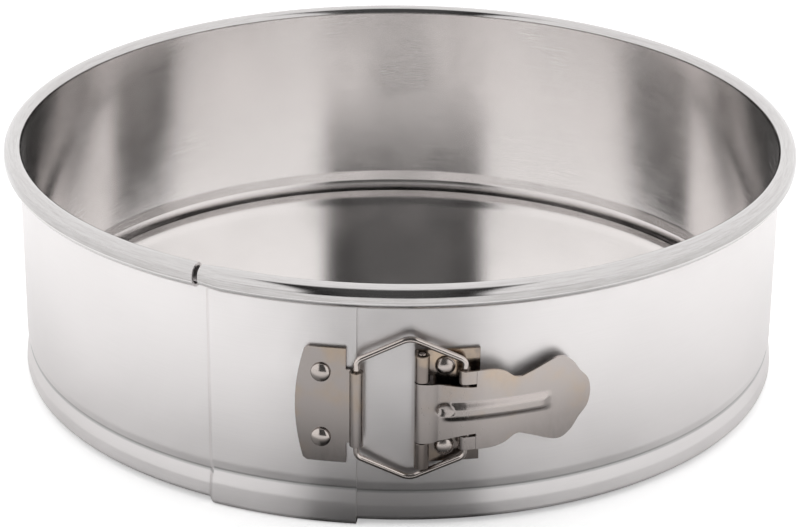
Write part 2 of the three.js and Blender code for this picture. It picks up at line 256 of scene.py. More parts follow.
def revolve_points(profile, azimuth):
    """A profile (radius, height) as points at one azimuth."""
    turn = math.radians(azimuth)
    profile = np.asarray(profile)
    return np.stack([profile[:, 0] * math.sin(turn), -profile[:, 0] * math.cos(turn), profile[:, 1]], 1)


def unit(vectors):
    return vectors / np.maximum(np.linalg.norm(vectors, axis=-1, keepdims=True), 1e-12)


FIRST, LAST = 0, -1
WHOLE = slice(None)


def sweep_sheet(skin, line_at, azimuths, thickness, inside_materials, outside_material, caps=()):
    """A bent sheet swept round the pan. line_at(azimuth) is the middle of the sheet there.

    caps lists the cut ends to close: which end, and the part of the line that is cut there.
    The tangents are added faintly, so that a point on the axis has a normal too.
    """
    nudge = 0.05
    faint = 0.001

    def side(azimuth, sign):
        line = np.array(line_at(azimuth))
        return revolve_points(line + sign * left_normals(line) * thickness / 2, azimuth)

    edges = {}
    turns = np.radians(azimuths)
    tangents = np.stack([np.cos(turns), np.sin(turns), 0 * turns], 1)[:, None]
    for sign, material in ((1, inside_materials), (-1, outside_material)):
        points = np.array([side(a, sign) for a in azimuths])
        around = np.array([side(a + nudge, sign) - side(a - nudge, sign) for a in azimuths])
        around += tangents * faint
        normals = sign * unit(np.cross(np.gradient(points, axis=1), around))
        skin.grid(points, normals, material)
        edges[sign] = points
    inner, outer = edges[1], edges[-1]
    for end, step in ((0, 1), (-1, -2)):
        strip = np.stack([inner[:, end], outer[:, end]], 1)
        facing = unit(inner[:, end] - inner[:, step])
        skin.grid(strip, np.repeat(facing[:, None], 2, 1), outside_material)
    for end, part in caps:
        turn = math.radians(azimuths[end])
        facing = (1 if end else -1) * np.array([math.cos(turn), math.sin(turn), 0])
        strip = np.stack([inner[end, part], outer[end, part]])
        skin.grid(strip, np.broadcast_to(facing, strip.shape), outside_material)


# ---- Nodes ----


class Nodes:
    """A material's or the world's node tree, with its nodes made by short calls."""

    def __init__(self, tree):
        self.tree = tree
        tree.nodes.clear()

    def add(self, kind, inputs=None, **settings):
        node = self.tree.nodes.new(kind)
        for key, value in settings.items():
            setattr(node, key, value)
        for key, value in (inputs or {}).items():
            if isinstance(value, bpy.types.NodeSocket):
                self.tree.links.new(value, node.inputs[key])
            else:
                node.inputs[key].default_value = value
        return node

    def math(self, operation, first, second=0.0):
        return self.add("ShaderNodeMath", {0: first, 1: second}, operation=operation).outputs[0]

    def remap(self, value, low, high, new_low, new_high, smooth=False):
        node = self.add(
            "ShaderNodeMapRange",
            {"Value": value, "From Min": low, "From Max": high, "To Min": new_low, "To Max": new_high},
            interpolation_type="SMOOTHSTEP" if smooth else "LINEAR",
        )
        return node.outputs["Result"]

    def mix(self, factor, first, second):
        node = self.add("ShaderNodeMix", data_type="RGBA")
        for socket, value in zip((0, 6, 7), (factor, first, second)):
            if isinstance(value, bpy.types.NodeSocket):
                self.tree.links.new(value, node.inputs[socket])
            else:
                node.inputs[socket].default_value = value
        return node.outputs[2]

    def noise(self, vector, scale, detail=2.0, roughness=0.5):
        inputs = {"Vector": vector, "Scale": scale, "Detail": detail, "Roughness": roughness}
        return self.add("ShaderNodeTexNoise", inputs).outputs["Fac"]


def grey(value, red=1.0, blue=1.0):
    """A grey, with its red and blue scaled to warm it."""
    return (value * red, value, value * blue, 1.0)


# ---- Materials ----


class Place:
    """Where a shaded point is, in metres: distance round the pan, height and radius."""

    def __init__(self, nodes):
        self.position = nodes.add("ShaderNodeTexCoord").outputs["Object"]
        x, y, self.height = nodes.add("ShaderNodeSeparateXYZ", {0: self.position}).outputs
        turn = nodes.math("ARCTAN2", x, nodes.math("MULTIPLY", y, -1.0))
        self.around = nodes.math("MULTIPLY", turn, WALL_RADIUS * MM)
        squares = nodes.math("ADD", nodes.math("MULTIPLY", x, x), nodes.math("MULTIPLY", y, y))
        self.radius = nodes.math("SQRT", squares)


def stretched(nodes, parts, scales):
    """Three coordinates scaled apart, so that a noise on them runs in streaks."""
    scaled = [nodes.math("MULTIPLY", part, scale) for part, scale in zip(parts, scales)]
    return nodes.add("ShaderNodeCombineXYZ", dict(enumerate(scaled))).outputs[0]


# How much the fine marks of a metal are squeezed: round the pan, up and outwards on the band and
# the base, and along X, Y and Z on the clasp.
ROLLED_GRAIN = (60.0, 9000.0, 3000.0)
TURNED_GRAIN = (25.0, 1500.0, 5200.0)
SCUFF_GRAIN = (130.0, 2200.0, 2200.0)
PRESSED_GRAIN = (900.0, 900.0, 250.0)
DRAWN_GRAIN = (900.0, 900.0, 120.0)
HEADED_GRAIN = (600.0, 600.0, 600.0)


def fine_marks(nodes, place, grain):
    """Noise that runs the way the metal was rolled, turned, pressed or drawn."""
    if grain in (ROLLED_GRAIN, TURNED_GRAIN):
        parts = (place.around, place.height, place.radius)
    else:
        parts = nodes.add("ShaderNodeSeparateXYZ", {0: place.position}).outputs
    return nodes.noise(stretched(nodes, parts, grain), 1.0, 3.0, 0.7)


def painted_groove_shade(nodes, place, colour):
    """Painted shade along the bottom of the band's groove, which is higher on the outer layer."""
    most, half_width, fade = 0.65, 0.2, 0.7
    first, last = (math.radians(end) * WALL_RADIUS * MM for end in (JOGGLE_END, OUTER_END))
    after = nodes.math("GREATER_THAN", place.around, first)
    past = nodes.math("GREATER_THAN", place.around, last)
    step = nodes.math("MULTIPLY", nodes.math("SUBTRACT", after, past), (SHEET + GAP) * MM)
    bottom = nodes.math("ADD", step, GROOVE_HEIGHT * MM)
    off = nodes.math("ABSOLUTE", nodes.math("SUBTRACT", place.height, bottom))
    groove_shade = nodes.remap(off, half_width * MM, (half_width + fade) * MM, most, 0.0, smooth=True)
    return nodes.mix(groove_shade, colour, grey(0.36))


def scuffs_and_painted_shade(nodes, place, colour):
    """Scuffs along the rolled rim, which are real wear, made stronger towards its lower half as a painted
    shade there.
    """
    least, most = 0.09, 0.45
    low, high = 70.0, 75.0
    along = stretched(nodes, (place.around, place.height, place.radius), SCUFF_GRAIN)
    marks = nodes.remap(nodes.noise(along, 1.0, 5.0, 0.7), 0.38, 0.66, least, most, smooth=True)
    # Painted shade: the scuffs grow darker towards the rim's lower half.
    lower = nodes.remap(place.height, low * MM, high * MM, 1.7, 0.6)
    return nodes.mix(nodes.math("MULTIPLY", marks, lower), colour, grey(0.30, 1.06, 0.96))


def stained(nodes, place, colour):
    """Yellowish stains in patches."""
    most = 0.8
    patches = nodes.noise(place.position, 55.0, 4.0, 0.6)
    amount = nodes.remap(patches, 0.45, 0.72, 0.0, most, smooth=True)
    return nodes.mix(amount, colour, (0.52, 0.40, 0.29, 1.0))


def painted_shade_by_hinge(nodes, place, colour):
    """Painted shade: the clasp's colour is mixed towards black round its hinge and to its left, and is kept
    full on the free part of the lever.
    """
    least, start, end = 0.68, 10.0, 28.0
    kept = nodes.remap(place.around, start * MM, end * MM, least, 1.0, smooth=True)
    return nodes.mix(kept, grey(0.0), colour)


def metal(name, base, roughness, anisotropy, grain, layers=(), smudge=0.05):
    """A bare metal with fine marks, uneven roughness, and layers that change its colour in turn."""
    marks_dim, bump, bump_depth = 0.94, 0.02, 0.2
    material = bpy.data.materials.new(name)
    material.use_nodes = True
    nodes = Nodes(material.node_tree)
    place = Place(nodes)
    fine = fine_marks(nodes, place, grain)
    cloud = nodes.noise(place.position, 28.0, 3.0, 0.55)
    streaks = nodes.remap(fine, 0.3, 0.7, -smudge, smudge)
    patches = nodes.remap(cloud, 0.35, 0.65, roughness - smudge, roughness + smudge)
    dark = tuple(channel * marks_dim for channel in base[:3]) + (1.0,)
    colour = nodes.mix(nodes.remap(fine, 0.25, 0.75, 0.0, 1.0), dark, base)
    for layer in layers:
        colour = layer(nodes, place, colour)
    relief = nodes.add("ShaderNodeBump", {"Height": fine, "Strength": bump, "Distance": bump_depth * MM})
    shader = nodes.add(
        "ShaderNodeBsdfPrincipled",
        {
            "Base Color": colour,
            "Roughness": nodes.math("ADD", streaks, patches),
            "Metallic": 1.0,
            "Anisotropic": anisotropy,
            "Anisotropic Rotation": 0.25,
        },
    )
    nodes.tree.links.new(relief.outputs[0], shader.inputs["Normal"])
    if anisotropy:
        tangent = nodes.add("ShaderNodeTangent", direction_type="RADIAL", axis="Z")
        nodes.tree.links.new(tangent.outputs[0], shader.inputs["Tangent"])
    output = nodes.add("ShaderNodeOutputMaterial")
    nodes.tree.links.new(shader.outputs[0], output.inputs["Surface"])
    return material


# The band's outside carries a painted shade along its groove.
OUTSIDE = metal("band_outside", grey(0.79, 1.035, 0.995), 0.38, 0.78, ROLLED_GRAIN, [painted_groove_shade])
INSIDE = metal("band_inside", grey(0.835, 1.025, 0.99), 0.19, 0.80, ROLLED_GRAIN)
# The rim's scuffs are real wear, with a painted shade on its lower half.
RIM = metal("band_rim", grey(0.54, 1.03, 0.995), 0.13, 0.3, ROLLED_GRAIN, [scuffs_and_painted_shade])
BASE = metal("base_bright", grey(0.75, 1.03, 0.99), 0.13, 0.0, TURNED_GRAIN, smudge=0.025)
# The clasp's colour carries a painted shade round the hinge.
CLASP = metal("clasp_nickel", grey(0.42, 1.10, 0.955), 0.20, 0.0, PRESSED_GRAIN, [stained, painted_shade_by_hinge])
# Painted shade: the bracket's nickel is much darker than the rest of the clasp, standing for the shade
# under the lever.
BRACKET_PAINTED_SHADE = metal("bracket_nickel_painted_shade", grey(0.20, 1.15, 0.92), 0.16, 0.0, PRESSED_GRAIN, [stained])
WIRE = metal("wire_nickel", grey(0.46, 1.11, 0.94), 0.12, 0.0, DRAWN_GRAIN)
RIVET = metal("rivet_nickel", grey(0.42, 1.11, 0.94), 0.20, 0.0, HEADED_GRAIN)


# ---- Band ----


def wall_corners(shift, top):
    """Corners of the middle of the band's sheet, below the rim, moved outwards by shift."""
    radius = WALL_MIDDLE + shift
    foot_radius = FOOT_RADIUS - SHEET / 2 + shift
    foot = 1.5 * SHEET + GAP - shift
    return [
        (LIP_INNER_RADIUS, foot, 0),
        (foot_radius, foot, 1.2),
        (foot_radius - SHOULDER_DEPTH, SHOULDER_START + shift, 6.0),
        (radius - GROOVE_DEPTH, GROOVE_HEIGHT + shift, 0.9),
        (radius, WALL_START + shift, 6.0),
        (radius, top, 0),
    ]


RIM_FOOT = RIM_TOP - RIM_HEIGHT - GAP


def rim_corners(scale=1.0, drop=0.0):
    """Corners of the rolled rim, with its outer parts drawn in by scale and lowered by drop."""
    top = RIM_TOP - SHEET / 2 - drop
    far = WALL_MIDDLE + (RIM_WIDTH - SHEET) * scale
    low = top - (RIM_HEIGHT - SHEET) * scale
    return [
        (WALL_MIDDLE, RIM_FOOT, 0),
        (WALL_MIDDLE, top, RIM_INNER_ROUNDING * scale),
        (far, top, RIM_OUTER_ROUNDING * scale),
        (far, low, RIM_OUTER_ROUNDING * scale),
        (WALL_MIDDLE + RIM_CURL_GAP, low, 0),
    ]


def full_line(azimuth):
    """The band with its rolled rim, the same at every azimuth."""
    wall = rounded(wall_corners(0.0, RIM_FOOT))
    return wall + rounded(rim_corners(), 10)[1:]


def nose_rim(azimuth):
    """The inner layer's rim starts as a narrower nose that fits inside the outer layer's rim."""
    grown = smoothstep(azimuth, INNER_END, INNER_END + NOSE_SPAN)
    scale = NOSE_SCALE + (1 - NOSE_SCALE) * grown
    return rounded(rim_corners(scale, NOSE_DROP * (1 - grown)), 10)


def nose_line(azimuth):
    """The inner layer with the nose for its rim."""
    return rounded(wall_corners(0.0, RIM_FOOT)) + nose_rim(azimuth)[1:]


def outer_line(azimuth):
    """The outer layer steps out over the inner one."""
    shift = (SHEET + GAP) * smoothstep(azimuth, JOGGLE_START, JOGGLE_END)
    return rounded(wall_corners(shift, RIM_FOOT))


def azimuth_steps(start, end, step=1.2):
    return np.linspace(start, end, max(int(round((end - start) / step)), 2) + 1)


def side_materials(line):
    """Inside material below the rim, rim material on the rolled rim: one number a column."""
    return [1 if p[1] < RIM_FOOT + 3 else 2 for p in line[:-1]]


def band_piece(name, start, end):
    skin = Skin()
    sweep_sheet(skin, full_line, azimuth_steps(start, end), SHEET, side_materials(full_line(0)), 0)
    return skin.build(name, [OUTSIDE, INSIDE, RIM])


def left_end_piece(name, start):
    """The left end: its rim is cut off short, and its wall goes on as the outer layer."""
    skin = Skin()
    full = full_line(0)
    outer = outer_line(0)
    rim_cut = [(LAST, slice(len(outer) - 1, None))]
    sweep_sheet(skin, full_line, azimuth_steps(start, RIM_CUT), SHEET, side_materials(full), 0, rim_cut)
    joggle = azimuth_steps(JOGGLE_START, JOGGLE_END, 0.12)
    steps = np.concatenate([[RIM_CUT], joggle, azimuth_steps(JOGGLE_END, OUTER_END)[1:]])
    sweep_sheet(skin, outer_line, steps, SHEET, side_materials(outer), 0, [(LAST, WHOLE)])
    return skin.build(name, [OUTSIDE, INSIDE, RIM])


def right_end_piece(name, end):
    """The right end: its narrower rim starts a little before its wall, the inner layer."""
    skin = Skin()
    rim = nose_rim(0)
    starts = azimuth_steps(INNER_END, INNER_WALL_END, 0.3)
    sweep_sheet(skin, nose_rim, starts, SHEET, side_materials(rim), 0, [(FIRST, WHOLE)])
    wall_cut = [(FIRST, slice(None, len(full_line(0)) - len(rim) + 1))]
    nose_end = INNER_END + 4
    nose = azimuth_steps(INNER_WALL_END, nose_end, 0.4)
    steps = np.concatenate([nose, azimuth_steps(nose_end, end)[1:]])
    sweep_sheet(skin, nose_line, steps, SHEET, side_materials(full_line(0)), 0, wall_cut)
    return skin.build(name, [OUTSIDE, INSIDE, RIM])


SEAM_REAR = (HINGE_REAR + HINGE_SIDE) / 2
SEAM_FRONT = HINGE_SIDE / 2


def make_band():
    """Six pieces. Four of them span the lines where the stiff CAD arcs are hinged."""
    for side, sign in (("left", -1), ("right", 1)):
        rear = band_piece(f"band_rear_{side}", *sorted((sign * SEAM_REAR, sign * 180.0)))
        middle = band_piece(f"band_side_{side}", *sorted((sign * SEAM_FRONT, sign * SEAM_REAR)))
        if sign < 0:
            end = left_end_piece("band_end_left", -SEAM_FRONT)
        else:
            end = right_end_piece("band_end_right", SEAM_FRONT)
        bends = ((rear, "band_back", f"band_{side}_rear", HINGE_REAR),
                 (middle, f"band_{side}_rear", f"band_{side}_front", HINGE_SIDE))
        for piece, first, second, hinge in bends:
            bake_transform(piece)
        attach(end, f"band_{side}_front")
        if sign < 0:
            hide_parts("band_back")
        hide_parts(f"band_{side}_rear")
        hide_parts(f"band_{side}_front")


# ---- Base ----


def base_line():
    """A flat disc with its edge turned down, into the band's bottom channel."""
    edge = BASE_EDGE_RADIUS - BASE_SHEET / 2
    height = BASE_TOP - BASE_SHEET / 2
    longest = 6.0
    corners = [(0.0, height, 0), (edge, height, BASE_CORNER), (edge, BASE_EDGE_BOTTOM, 0)]
    return subdivided(rounded(corners), longest)


def make_base():
    skin = Skin()
    line = base_line()
    sweep_sheet(skin, lambda azimuth: line, azimuth_steps(-180, 180), BASE_SHEET, 0, 0)
    base = skin.build("base_disc_bright", [BASE])
    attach(base, "base")
    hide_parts("base_disc")


# ---- Clasp ----


class Bend:
    """The middle of a bent sheet seen from above, measured along its length."""

    def __init__(self, points):
        self.points = np.array(points)
        steps = np.linalg.norm(np.diff(self.points, axis=0), axis=1)
        self.lengths = np.concatenate([[0], np.cumsum(steps)])
        self.normals = left_normals(points)

    def at(self, length):
        point = [np.interp(length, self.lengths, self.points[:, k]) for k in (0, 1)]
        normal = [np.interp(length, self.lengths, self.normals[:, k]) for k in (0, 1)]
        return np.array(point), unit(np.array(normal))

    def length_at_x(self, x, beyond=0.0):
        """Length along the bend where it reaches x, past a given length."""
        kept = self.lengths >= beyond
        xs, lengths = self.points[kept, 0], self.lengths[kept]
        order = np.argsort(xs)
        return float(np.interp(x, xs[order], lengths[order]))


def sheet_piece(name, bend, cells, thickness, material, relief=None):
    """A bent sheet from flat cells, each four corners (length along the bend, height)."""
    relief = relief or (lambda length, height: 0.0)
    mesh = bmesh.new()
    shared = {}

    def vertex(corner, side):
        key = (round(corner[0] * 1000), round(corner[1] * 1000), side)
        if key not in shared:
            point, normal = bend.at(corner[0])
            moved = point + normal * (side * thickness / 2 + relief(*corner))
            shared[key] = mesh.verts.new((moved[0] * MM, moved[1] * MM, (CLASP_HEIGHT + corner[1]) * MM))
        return shared[key]

    edges = {}
    for cell in cells:
        for side in (1, -1):
            corners = [vertex(c, side) for c in cell]
            corners = list(dict.fromkeys(corners))
            if len(corners) > 2:
                mesh.faces.new(corners if side > 0 else corners[::-1])
        for a, b in zip(cell, cell[1:] + cell[:1]):
            ends = tuple(tuple(round(v * 1000) for v in p) for p in (a, b))
            if ends[0] == ends[1]:
                continue
            if ends[::-1] in edges:
                del edges[ends[::-1]]
            else:
                edges[ends] = (a, b)
    for a, b in edges.values():
        mesh.faces.new([vertex(b, 1), vertex(a, 1), vertex(a, -1), vertex(b, -1)])
    bmesh.ops.recalc_face_normals(mesh, faces=mesh.faces)
    data = bpy.data.meshes.new(name)
    mesh.to_mesh(data)
    mesh.free()
    data.materials.append(material)
    obj = bpy.data.objects.new(name, data)
    bpy.context.collection.objects.link(obj)
    return softened(obj)


def softened(obj):
    """Rounds an object's sharp edges and shades it smooth."""
    width, sharpest_smooth = 0.14, 50
    for polygon in obj.data.polygons:
        polygon.use_smooth = True
    bevel = obj.modifiers.new("bevel", "BEVEL")
    bevel.width = width * MM
    bevel.segments = 2
    bevel.limit_method = "ANGLE"
    bevel.angle_limit = math.radians(sharpest_smooth)
    bevel.harden_normals = True
    return apply_modifiers(obj)


def apply_modifiers(obj):
    bpy.context.view_layer.update()
    graph = bpy.context.evaluated_depsgraph_get()
    mesh = bpy.data.meshes.new_from_object(obj.evaluated_get(graph), depsgraph=graph)
    obj.modifiers.clear()
    obj.data = mesh
    return obj


def lattice(lengths, heights_at):
    """Cells between lines of constant length, heights_at(length) giving the heights on each."""
    cells = []
    for a, b in zip(lengths, lengths[1:]):
        low, high = heights_at(a), heights_at(b)
        for j in range(len(low) - 1):
            cells.append([(a, low[j]), (b, high[j]), (b, high[j + 1]), (a, low[j + 1])])
    return cells


def wall_points(radius_at, start, end):
    """Points from one X to another on a line whose radius is given at each X."""
    step = 0.5
    count = max(int(abs(end - start) / step), 1)
    return [on_circle(radius_at(x), x) for x in np.linspace(start, end, count + 1)]


def direction(vector):
    return math.degrees(math.atan2(vector[1], vector[0]))


def make_keeper():
    half_height, curl_half, curl_turn = 18.0, 11.6, 292
    far_left, plate_end = -31.0, -14.9
    left, slant, belly, corner = -26.7, 0.3, 2.7, 0.9
    plate_radius = np.linalg.norm(KEEPER_AXIS) - CURL_RADIUS
    start = direction(-KEEPER_AXIS)
    line = wall_points(lambda x: plate_radius, far_left, KEEPER_AXIS[0] - 0.3)
    line += arc(KEEPER_AXIS, CURL_RADIUS, start, start - curl_turn, 40)
    bend = Bend(line)
    end = bend.length_at_x(plate_end)
    heights = np.unique(np.concatenate([np.linspace(-curl_half, curl_half, 25),
                                        np.linspace(curl_half, half_height, 8),
                                        np.linspace(-half_height, -curl_half, 8)]))

    def left_edge(height):
        bow = belly * (1 - (height / half_height) ** 2)
        cut = corner * smoothstep(abs(height), half_height - corner, half_height)
        return bend.length_at_x(left + slant * height / half_height - bow + cut)

    shares = np.linspace(0, 1, 22)
    cells = []
    for low, high in zip(heights, heights[1:]):
        a, b = left_edge(low), left_edge(high)
        for s, t in zip(shares, shares[1:]):
            cells.append([(a + (end - a) * s, low), (a + (end - a) * t, low),
                          (b + (end - b) * t, high), (b + (end - b) * s, high)])
    inner = [h for h in heights if abs(h) <= curl_half + 1e-6]
    cells += lattice(np.linspace(end, bend.lengths[-1], 40), lambda length: inner)
    keeper = sheet_piece("keeper_plate_nickel", bend, cells, SHEET, CLASP)
    finish_clasp(keeper, "band_left_front", "keeper_plate")


def make_bracket():
    right_edge, notch_x, top = 22.7, 9.5, 17.6
    plate_radius = WALL_RADIUS + GAP + SHEET / 2
    left = PIN_AXIS[0] - KNUCKLE_RADIUS
    corner = on_circle(plate_radius, left)
    first = wall_points(lambda x: plate_radius, right_edge, left + 1.0)
    riser = rounded([(*first[-1], 0), (*corner, 0.7), (left, PIN_AXIS[1], 0)])[1:-1]
    line = first + riser + arc(PIN_AXIS, KNUCKLE_RADIUS, 180, 395, 30)
    bend = Bend(line)
    notch = bend.length_at_x(notch_x)
    knuckle = TONGUE_HALF + GAP
    outer = list(np.linspace(knuckle, top, 9))
    heights = [-h for h in reversed(outer)] + list(np.linspace(-knuckle, knuckle, 17))[1:-1] + outer
    cells = lattice(np.linspace(0, notch, 16), lambda length: heights)
    beyond = np.linspace(notch, bend.lengths[-1], 50)
    cells += lattice(beyond, lambda length: outer)
    cells += lattice(beyond, lambda length: [-h for h in reversed(outer)])
    # The bracket plate's darker nickel is a painted shade.
    bracket = sheet_piece("bracket_plate_nickel", bend, cells, SHEET, BRACKET_PAINTED_SHADE)
    finish_clasp(bracket, "band_right_front", "bracket_plate")


LEVER_EDGE = [
    (EAR_ROOT, EAR_OUTER),
    (26.5, 12.1),
    (29.8, 11.1),
    (33.3, 8.9),
    (37.0, 9.9),
    (44.7, 12.9),
    (48.6, 11.2),
    (51.2, 7.4),
    (53.6, 4.2),
    (54.4, 0.0),
]
LEVER_TIP_X = LEVER_EDGE[-1][0]
LEVER_TIP_RADIUS = 122.4


def lever_radius(x):
    """How far the lever's sheet is from the pan's axis: it slants in towards its tip."""
    ear_top = np.linalg.norm(LEVER_AXIS) + CURL_RADIUS
    share = (max(x, LEVER_AXIS[0]) - LEVER_AXIS[0]) / (LEVER_TIP_X - LEVER_AXIS[0])
    return ear_top + (LEVER_TIP_RADIUS - ear_top) * share


def lever_relief(x, height):
    """The raised rib, and the small hollow at its left end."""
    rib_height, rib_top, rib_foot = 1.1, 1.0, 2.9
    depth, middle, half_size = 1.3, (12.9, 0.9), (2.2, 1.5)
    along = smoothstep(x, 11.6, 15.0) * (1 - smoothstep(x, 40.6, 42.6))
    across = 1 - smoothstep(abs(height), rib_top, rib_foot)
    off = ((x - middle[0]) / half_size[0]) ** 2 + ((height - middle[1]) / half_size[1]) ** 2
    return rib_height * along * across - depth * math.exp(-(off**2))


def make_lever():
    knuckle_steps, level_x, thinnest = 36, 11.0, 0.25
    knuckle = arc(PIN_AXIS, KNUCKLE_RADIUS, 60, 270, knuckle_steps)
    level = on_circle(lever_radius(0), level_x)
    ease = rounded([(*knuckle[-1], 0), (PIN_AXIS[0] + 2.6, knuckle[-1][1], 6.0), (*level, 0)])[1:-1]
    bend = Bend(knuckle + ease + wall_points(lever_radius, level_x, LEVER_TIP_X + 1))
    past_knuckle = bend.lengths[knuckle_steps]

    def length(x):
        return bend.length_at_x(x, past_knuckle)

    root = length(EAR_ROOT)
    slot = list(np.linspace(SLOT_INNER, EAR_INNER, 3))
    ear = list(np.linspace(EAR_INNER, EAR_OUTER, 9))
    tongue = list(np.linspace(-SLOT_INNER, SLOT_INNER, 43))
    across = [-h for h in reversed(ear)] + [-h for h in reversed(slot)][1:-1] + tongue + slot[1:-1] + ear
    across = np.array(sorted(set(np.round(across, 4))))

    ghost = (EAR_ROOT - 5, EAR_OUTER)
    mirrored = (LEVER_EDGE[-2][0], -LEVER_EDGE[-2][1])
    edge = smooth_curve([ghost, *LEVER_EDGE, mirrored], 9)
    half_at = {round(length(x), 4): max(half, thinnest) for x, half in edge}
    stations = sorted(half_at)
    cells = lattice(stations, lambda s: across * half_at[s] / EAR_OUTER)

    def tongue_heights(s):
        share = 1 - smoothstep(s, past_knuckle, root)
        half = SLOT_INNER + (TONGUE_HALF - SLOT_INNER) * share
        return np.array(tongue) * half / SLOT_INNER

    cells += lattice([*np.linspace(0, root, 70)[:-1], stations[0]], tongue_heights)

    def relief(s, height):
        if s < past_knuckle:
            return 0.0
        return -lever_relief(bend.at(s)[0][0], height)

    lever = sheet_piece("clasp_lever_nickel", bend, cells, SHEET, CLASP, relief)
    finish_clasp(lever, "lever", "clasp_lever")
    make_ears()


def make_ears():
    """The two ears that join the lever beside its slots and curl round the bail's leg."""
    curl_turn = 232
    start = direction(LEVER_AXIS)
    curl = arc(LEVER_AXIS, CURL_RADIUS, start - curl_turn, start, 36)
    bend = Bend(curl + wall_points(lever_radius, LEVER_AXIS[0] + 0.5, EAR_ROOT))
    for name, low, high in (("upper", EAR_INNER, EAR_OUTER), ("lower", -EAR_OUTER, -EAR_INNER)):
        heights = np.linspace(low, high, 9)
        cells = lattice(np.linspace(0, bend.lengths[-1], 46), lambda s: heights)
        ear = sheet_piece(f"lever_ear_{name}", bend, cells, SHEET, CLASP)
        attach(ear, "lever")


def finish_clasp(piece, body, node):
    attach(piece, body)
    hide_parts(node)


def bail_path():
    """The middle of the bail's wire: a six-sided loop with rounded corners, flat between its legs."""
    leg_half, apex_half, apex_share = 15.0, 22.0, 0.49
    span = LEVER_AXIS - KEEPER_AXIS
    width = np.linalg.norm(span)
    apex = apex_share * width
    corners = [
        (0.0, 0.0, 0),
        (0.0, leg_half, 2.4),
        (apex, apex_half, 5.0),
        (width, leg_half, 2.4),
        (width, -leg_half, 2.4),
        (apex, -apex_half, 5.0),
        (0.0, -leg_half, 2.4),
        (0.0, 0.0, 0),
    ]
    flat = subdivided(rounded(corners, 10), 1.0)[:-1]
    return [np.array([*(KEEPER_AXIS + span * u / width), CLASP_HEIGHT + v]) for u, v in flat]


def make_bail():
    path = np.array(bail_path())
    along = unit(np.roll(path, -1, 0) - np.roll(path, 1, 0))
    span = LEVER_AXIS - KEEPER_AXIS
    off = unit(np.array([span[1], -span[0], 0.0]))
    sideways = unit(np.cross(along, off))
    turns = np.linspace(0, 2 * math.pi, 25)
    circle = [sideways * math.cos(t) + off * math.sin(t) for t in turns]
    normals = np.stack(circle, 1)
    points = path[:, None] + normals * WIRE_RADIUS
    closed = np.concatenate([points, points[:1]])
    skin = Skin()
    skin.grid(closed, np.concatenate([normals, normals[:1]]))
    bail = skin.build("bail_wire_nickel", [WIRE])
    finish_clasp(bail, "bail", "bail_wire")


def turned_piece(name, profile, placed, material):
    """A solid of revolution from a profile (radius, distance along its axis), axis along +Z."""
    skin = Skin()
    profile = np.array(profile)
    turns = np.linspace(0, 360, 41)
    along = np.gradient(profile, axis=0)
    facing = unit(np.stack([along[:, 1], -along[:, 0]], 1))
    grid, normals = [], []
    for turn in turns:
        c, s = math.cos(math.radians(turn)), math.sin(math.radians(turn))
        grid.append(np.stack([profile[:, 0] * c, profile[:, 0] * s, profile[:, 1]], 1))
        normals.append(np.stack([facing[:, 0] * c, facing[:, 0] * s, facing[:, 1]], 1))
    skin.grid(np.array(grid), np.array(normals))
    obj = skin.build(name, [material])
    obj.data.transform(placed)
    return obj


def outward(azimuth, radius, height):
    """Places a piece whose axis is +Z so that it points straight out of the wall."""
    spin = Matrix.Rotation(math.radians(azimuth), 4, "Z") @ Matrix.Rotation(math.radians(90), 4, "X")
    return Matrix.Translation((0, 0, height * MM)) @ spin @ Matrix.Translation((0, 0, radius * MM))


def make_rivets():
    """Domed heads on the plates, and flat tails inside the band for the bracket's two."""
    skirt, bevel, sunk = 0.25, 0.2, 0.1
    quarter = np.linspace(0, math.pi / 2, 14)
    dome = [(RIVET_HEAD * math.cos(t), skirt + RIVET_DOME * math.sin(t)) for t in quarter]
    foot = [(0.0, -skirt), (RIVET_HEAD - bevel, -skirt), (RIVET_HEAD, 0.0)]
    head = [*foot, *dome[:-1], (0.0, skirt + RIVET_DOME)]
    tail = [(0.0, 0.0), (2.3, 0.0), (2.4, 0.1), (2.4, 0.4), (2.25, 0.5), (0.0, TAIL_HEIGHT)]
    keeper_top = np.linalg.norm(KEEPER_AXIS) - CURL_RADIUS + SHEET / 2
    bracket_top = WALL_RADIUS + GAP + SHEET
    for side, sign in (("upper", 1), ("lower", -1)):
        for plate, azimuth, offset, top, body in (
            ("keeper", *KEEPER_RIVETS, keeper_top, "band_left_front"),
            ("bracket", *BRACKET_RIVETS, bracket_top, "band_right_front"),
        ):
            placed = outward(azimuth, top + sunk, CLASP_HEIGHT + sign * offset)
            rivet = turned_piece(f"{plate}_rivet_{side}_dome", head, placed, RIVET)
            finish_clasp(rivet, body, f"{plate}_rivet_{side}")
            if plate == "bracket":
                inside = outward(azimuth, WALL_RADIUS - SHEET - TAIL_HEIGHT, CLASP_HEIGHT + sign * offset)
                button = turned_piece(f"bracket_rivet_{side}_tail", tail, inside, RIVET)
                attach(button, body)


def make_pin():
    half, bevel = 18.0, 0.2
    profile = [(0, -half), (PIN_RADIUS - bevel, -half), (PIN_RADIUS, -half + bevel)]
    profile += [(PIN_RADIUS, half - bevel), (PIN_RADIUS - bevel, half), (0, half)]
    placed = Matrix.Translation((PIN_AXIS[0] * MM, PIN_AXIS[1] * MM, CLASP_HEIGHT * MM))
    pin = turned_piece("hinge_pin_nickel", profile, placed, WIRE)
    finish_clasp(pin, "band_right_front", "hinge_pin")


# ---- Studio ----


